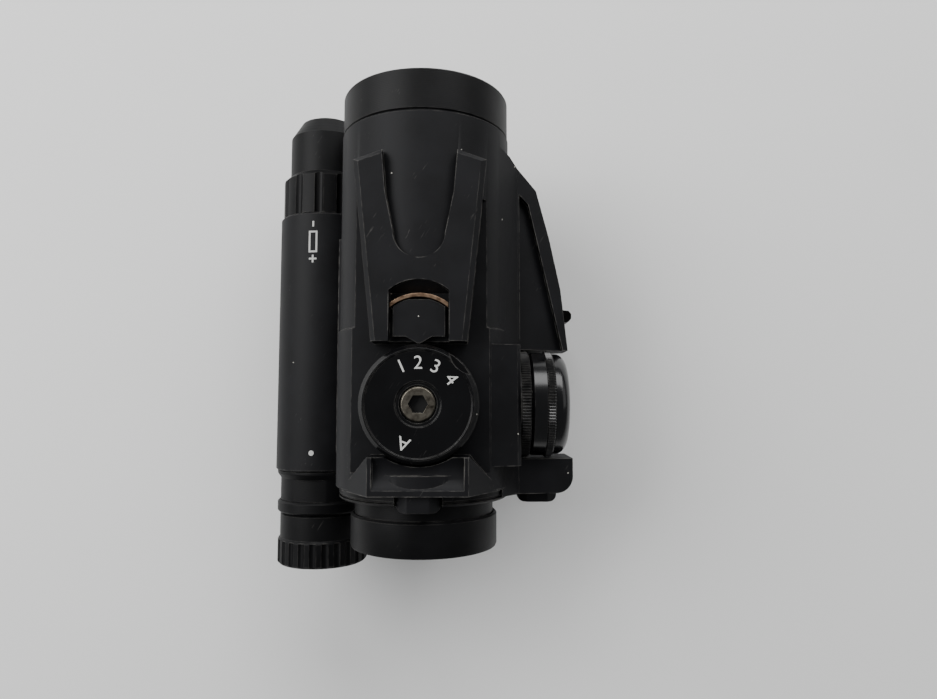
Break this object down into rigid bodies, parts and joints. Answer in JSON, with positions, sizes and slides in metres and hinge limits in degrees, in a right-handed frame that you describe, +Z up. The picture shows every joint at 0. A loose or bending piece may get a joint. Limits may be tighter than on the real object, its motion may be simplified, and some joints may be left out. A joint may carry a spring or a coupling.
{
  "type": "red dot sight",
  "caption": "Closed-tube red dot sight with range dial, windage turret, side battery tube with rotary switch, and a quick-release rail clamp.",
  "frame": {"origin": "centre of the rail seat: on the rail top plane, midway along the clamp, under the optical axis", "axes": "+Y forwards through the tube, +Z up, +X to the shooter's right"},
  "size_m": [0.0888, 0.13, 0.0709],
  "materials": {
    "anodised_body": "matte black hard anodised, fine bead-blasted",
    "anodised_ring": "satin black anodised, turned",
    "dial_black": "glossy black anodised",
    "black_steel": "blackened steel",
    "worn_steel": "blackened steel worn to bare metal",
    "bronze": "spring bronze",
    "brass": "bright brass",
    "rubber": "black rubber",
    "lens_glass": "polished, coated",
    "insulator": "moulded nylon",
    "board": "circuit board",
    "cell_wrap": "printed sleeve, no marks",
    "emitter_red": "red emitter"
  },
  "bodies": {
    "sight": {"housing": "anodised_body", "front_ring": "anodised_ring", "front_o_ring": "rubber", "front_window": "lens_glass", "front_window_retainer": "anodised_ring", "gimbal_yaw_pins": "worn_steel", "return_spring": "bronze", "rear_cover": "anodised_ring", "rear_o_ring": "rubber", "rear_window": "lens_glass", "rear_window_retainer": "anodised_ring", "eyepiece_ring": "anodised_ring", "elevation_base_ring": "anodised_ring", "elevation_seal": "rubber", "windage_base_ring": "anodised_ring", "windage_seal": "rubber", "index_plate": "anodised_body", "click_spring": "bronze", "battery_tube": "anodised_body", "battery_liner": "insulator", "battery_cell": "cell_wrap", "switch_housing": "anodised_ring", "switch_ring": "anodised_ring", "switch_board": "board", "rear_contact": "brass", "cradle_screws": "black_steel", "feed_pin": "brass", "mount_base": "anodised_body", "mount_screws": "black_steel", "recoil_lug": "black_steel", "jaw_guide_pins": "worn_steel", "lever_pin": "black_steel"},
    "gimbal": {"gimbal_ring": "worn_steel", "gimbal_pitch_pins": "worn_steel"},
    "inner_optics": {"inner_tube": "anodised_body", "objective_front": "lens_glass", "objective_mirror": "lens_glass", "objective_retainer": "anodised_ring", "emitter_holder": "insulator", "emitter_board": "board", "emitter": "emitter_red"},
    "range_dial": {"elevation_dial": "dial_black", "elevation_screw": "worn_steel", "elevation_drive_nut": "worn_steel"},
    "elevation_adjuster": {"elevation_pusher": "worn_steel"},
    "windage_turret": {"windage_drum": "dial_black", "windage_cap": "dial_black", "windage_drive_nut": "worn_steel"},
    "windage_adjuster": {"windage_pusher": "worn_steel"},
    "range_lock": {"elevation_lock_button": "anodised_body"},
    "windage_lock": {"windage_lock_button": "anodised_body"},
    "cap_seal": {"cap_o_ring": "rubber"},
    "cap": {"battery_cap": "anodised_ring", "cap_spring": "worn_steel"},
    "brightness_switch": {"switch_knob": "anodised_ring", "switch_shaft": "worn_steel"},
    "jaw": {"clamp_jaw": "black_steel"},
    "lever": {"clamp_lever": "black_steel"}
  },
  "joints": [
    {"name": "elevation_turn", "type": "hinge", "parent": "sight", "child": "range_dial", "pos_m": [0, -0.0145, 0.037], "axis": [0, 0, 1], "range_deg": [-160, 53]},
    {"name": "elevation_push", "type": "slide", "parent": "sight", "child": "elevation_adjuster", "axis": [0, 0, 1], "range_m": [-0.00023, 0.00008]},
    {"name": "windage_turn", "type": "hinge", "parent": "sight", "child": "windage_turret", "pos_m": [0.0246, -0.0145, 0.037], "axis": [1, 0, 0], "range_deg": [-180, 180]},
    {"name": "windage_push", "type": "slide", "parent": "sight", "child": "windage_adjuster", "axis": [1, 0, 0], "range_m": [-0.00026, 0.00026]},
    {"name": "tube_yaw", "type": "hinge", "parent": "sight", "child": "gimbal", "pos_m": [0, 0.0405, 0.037], "axis": [0, 0, 1], "range_deg": [-0.28, 0.28]},
    {"name": "tube_pitch", "type": "hinge", "parent": "gimbal", "child": "inner_optics", "pos_m": [0, 0.0405, 0.037], "axis": [1, 0, 0], "range_deg": [-0.09, 0.25]},
    {"name": "range_lock_press", "type": "slide", "parent": "sight", "child": "range_lock", "axis": [0, 1, 0], "range_m": [0, 0.0015], "stiffness_N_per_m": 400, "springref_m": -0.002},
    {"name": "windage_lock_press", "type": "slide", "parent": "sight", "child": "windage_lock", "axis": [0, 1, 0], "range_m": [0, 0.0015], "stiffness_N_per_m": 400, "springref_m": -0.002},
    {"name": "cap_travel", "type": "slide", "parent": "sight", "child": "cap_seal", "axis": [0, 1, 0], "range_m": [0, 0.0032]},
    {"name": "cap_turn", "type": "hinge", "parent": "cap_seal", "child": "cap", "pos_m": [-0.03102, 0.0566, 0.01647], "axis": [0, 1, 0], "range_deg": [0, 1080]},
    {"name": "brightness_turn", "type": "hinge", "parent": "sight", "child": "brightness_switch", "pos_m": [-0.03102, -0.05, 0.01647], "axis": [0, 1, 0], "range_deg": [0, 300]},
    {"name": "lever_swing", "type": "hinge", "parent": "sight", "child": "lever", "pos_m": [0.026, -0.012, 0], "axis": [0, 0, 1], "range_deg": [-110, 0]},
    {"name": "jaw_slide", "type": "slide", "parent": "sight", "child": "jaw", "axis": [1, 0, 0], "range_m": [0, 0.00252]}
  ],
  "couplings": [
    {"joint": "elevation_push", "follows": "elevation_turn", "m_per_rad": 0.000079577},
    {"joint": "tube_pitch", "follows": "elevation_turn", "ratio": -0.0014469},
    {"joint": "windage_push", "follows": "windage_turn", "m_per_rad": -0.000079577},
    {"joint": "tube_yaw", "follows": "windage_turn", "ratio": -0.0014469},
    {"joint": "cap_travel", "follows": "cap_turn", "m_per_rad": 0.00015915},
    {"joint": "jaw_slide", "follows": "lever_swing", "m_per_rad": -0.0012501}
  ]
}
